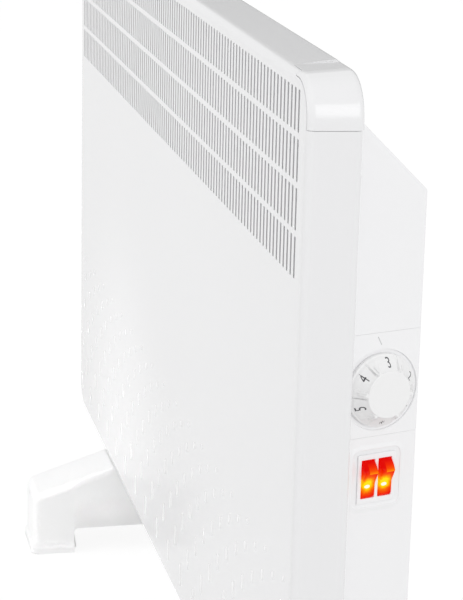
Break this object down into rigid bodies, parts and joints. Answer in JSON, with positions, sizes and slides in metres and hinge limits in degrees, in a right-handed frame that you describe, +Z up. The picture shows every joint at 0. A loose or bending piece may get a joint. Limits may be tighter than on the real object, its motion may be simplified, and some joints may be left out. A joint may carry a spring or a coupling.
{
  "type": "convector heater",
  "caption": "Free-standing electric convector heater with a slotted white steel front, two arched feet, and a thermostat knob and lit rocker switches on its right end.",
  "frame": {"origin": "on the floor, under the centre of the outline", "axes": "+X to the control end, +Y to the rear, +Z up; the front faces -Y"},
  "size_m": [0.8118, 0.222, 0.5299],
  "materials": {
    "white_enamel": "satin",
    "white_enamel_side": "satin",
    "white_plastic": "gloss",
    "knob_plastic": "satin",
    "foot_plastic": "satin",
    "zinc_steel": "satin",
    "tube_steel": "satin",
    "fin_aluminium": "satin",
    "copper_brass": "satin",
    "lit_lens": "gloss",
    "lamp_glow": "gloss",
    "ceramic_white": "matte",
    "black_plastic": "matte",
    "grey_rubber": "matte",
    "wire_sleeve": "matte"
  },
  "bodies": {
    "body": {"front_panel": "white_enamel", "corner_cap_left": "white_plastic", "corner_cap_right": "white_plastic", "rear_casing": "white_enamel_side", "thermostat_panel": "white_plastic", "thermostat_body": "zinc_steel", "thermostat_screws": "zinc_steel", "sensor_bulb": "copper_brass", "sensor_clip": "zinc_steel", "switch_frame": "white_plastic", "switch_bezel": "white_plastic", "switch_housing": "white_plastic", "switch_terminals": "copper_brass", "rocker_pin": "zinc_steel", "indicator_lamps": "lamp_glow", "heating_tube": "tube_steel", "heating_fins": "fin_aluminium", "element_bracket_left": "zinc_steel", "element_bracket_right": "zinc_steel", "element_bushes": "ceramic_white", "heat_shield": "zinc_steel", "thermal_cutout": "black_plastic", "terminal_block": "ceramic_white", "wiring": "wire_sleeve", "cable_gland": "black_plastic", "foot_left": "foot_plastic", "foot_right": "foot_plastic", "foot_pads": "grey_rubber", "foot_screws": "zinc_steel", "casing_screws": "white_enamel_side"},
    "knob": {"thermostat_knob": "knob_plastic", "thermostat_shaft": "zinc_steel"},
    "front_rocker": {"rocker_front": "lit_lens"},
    "rear_rocker": {"rocker_rear": "lit_lens"}
  },
  "joints": [
    {"name": "thermostat_turn", "type": "hinge", "parent": "body", "child": "knob", "pos_m": [0.38504, 0.01455, 0.3406], "axis": [0.967, 0.2546, 0], "range_deg": [-116, 184]},
    {"name": "front_rocker_tip", "type": "hinge", "parent": "body", "child": "front_rocker", "pos_m": [0.38062, 0.00661, 0.2865], "axis": [-0.2546, 0.967, 0], "range_deg": [-30, 0]},
    {"name": "rear_rocker_tip", "type": "hinge", "parent": "body", "child": "rear_rocker", "pos_m": [0.37769, 0.01773, 0.2865], "axis": [-0.2546, 0.967, 0], "range_deg": [-30, 0]}
  ]
}
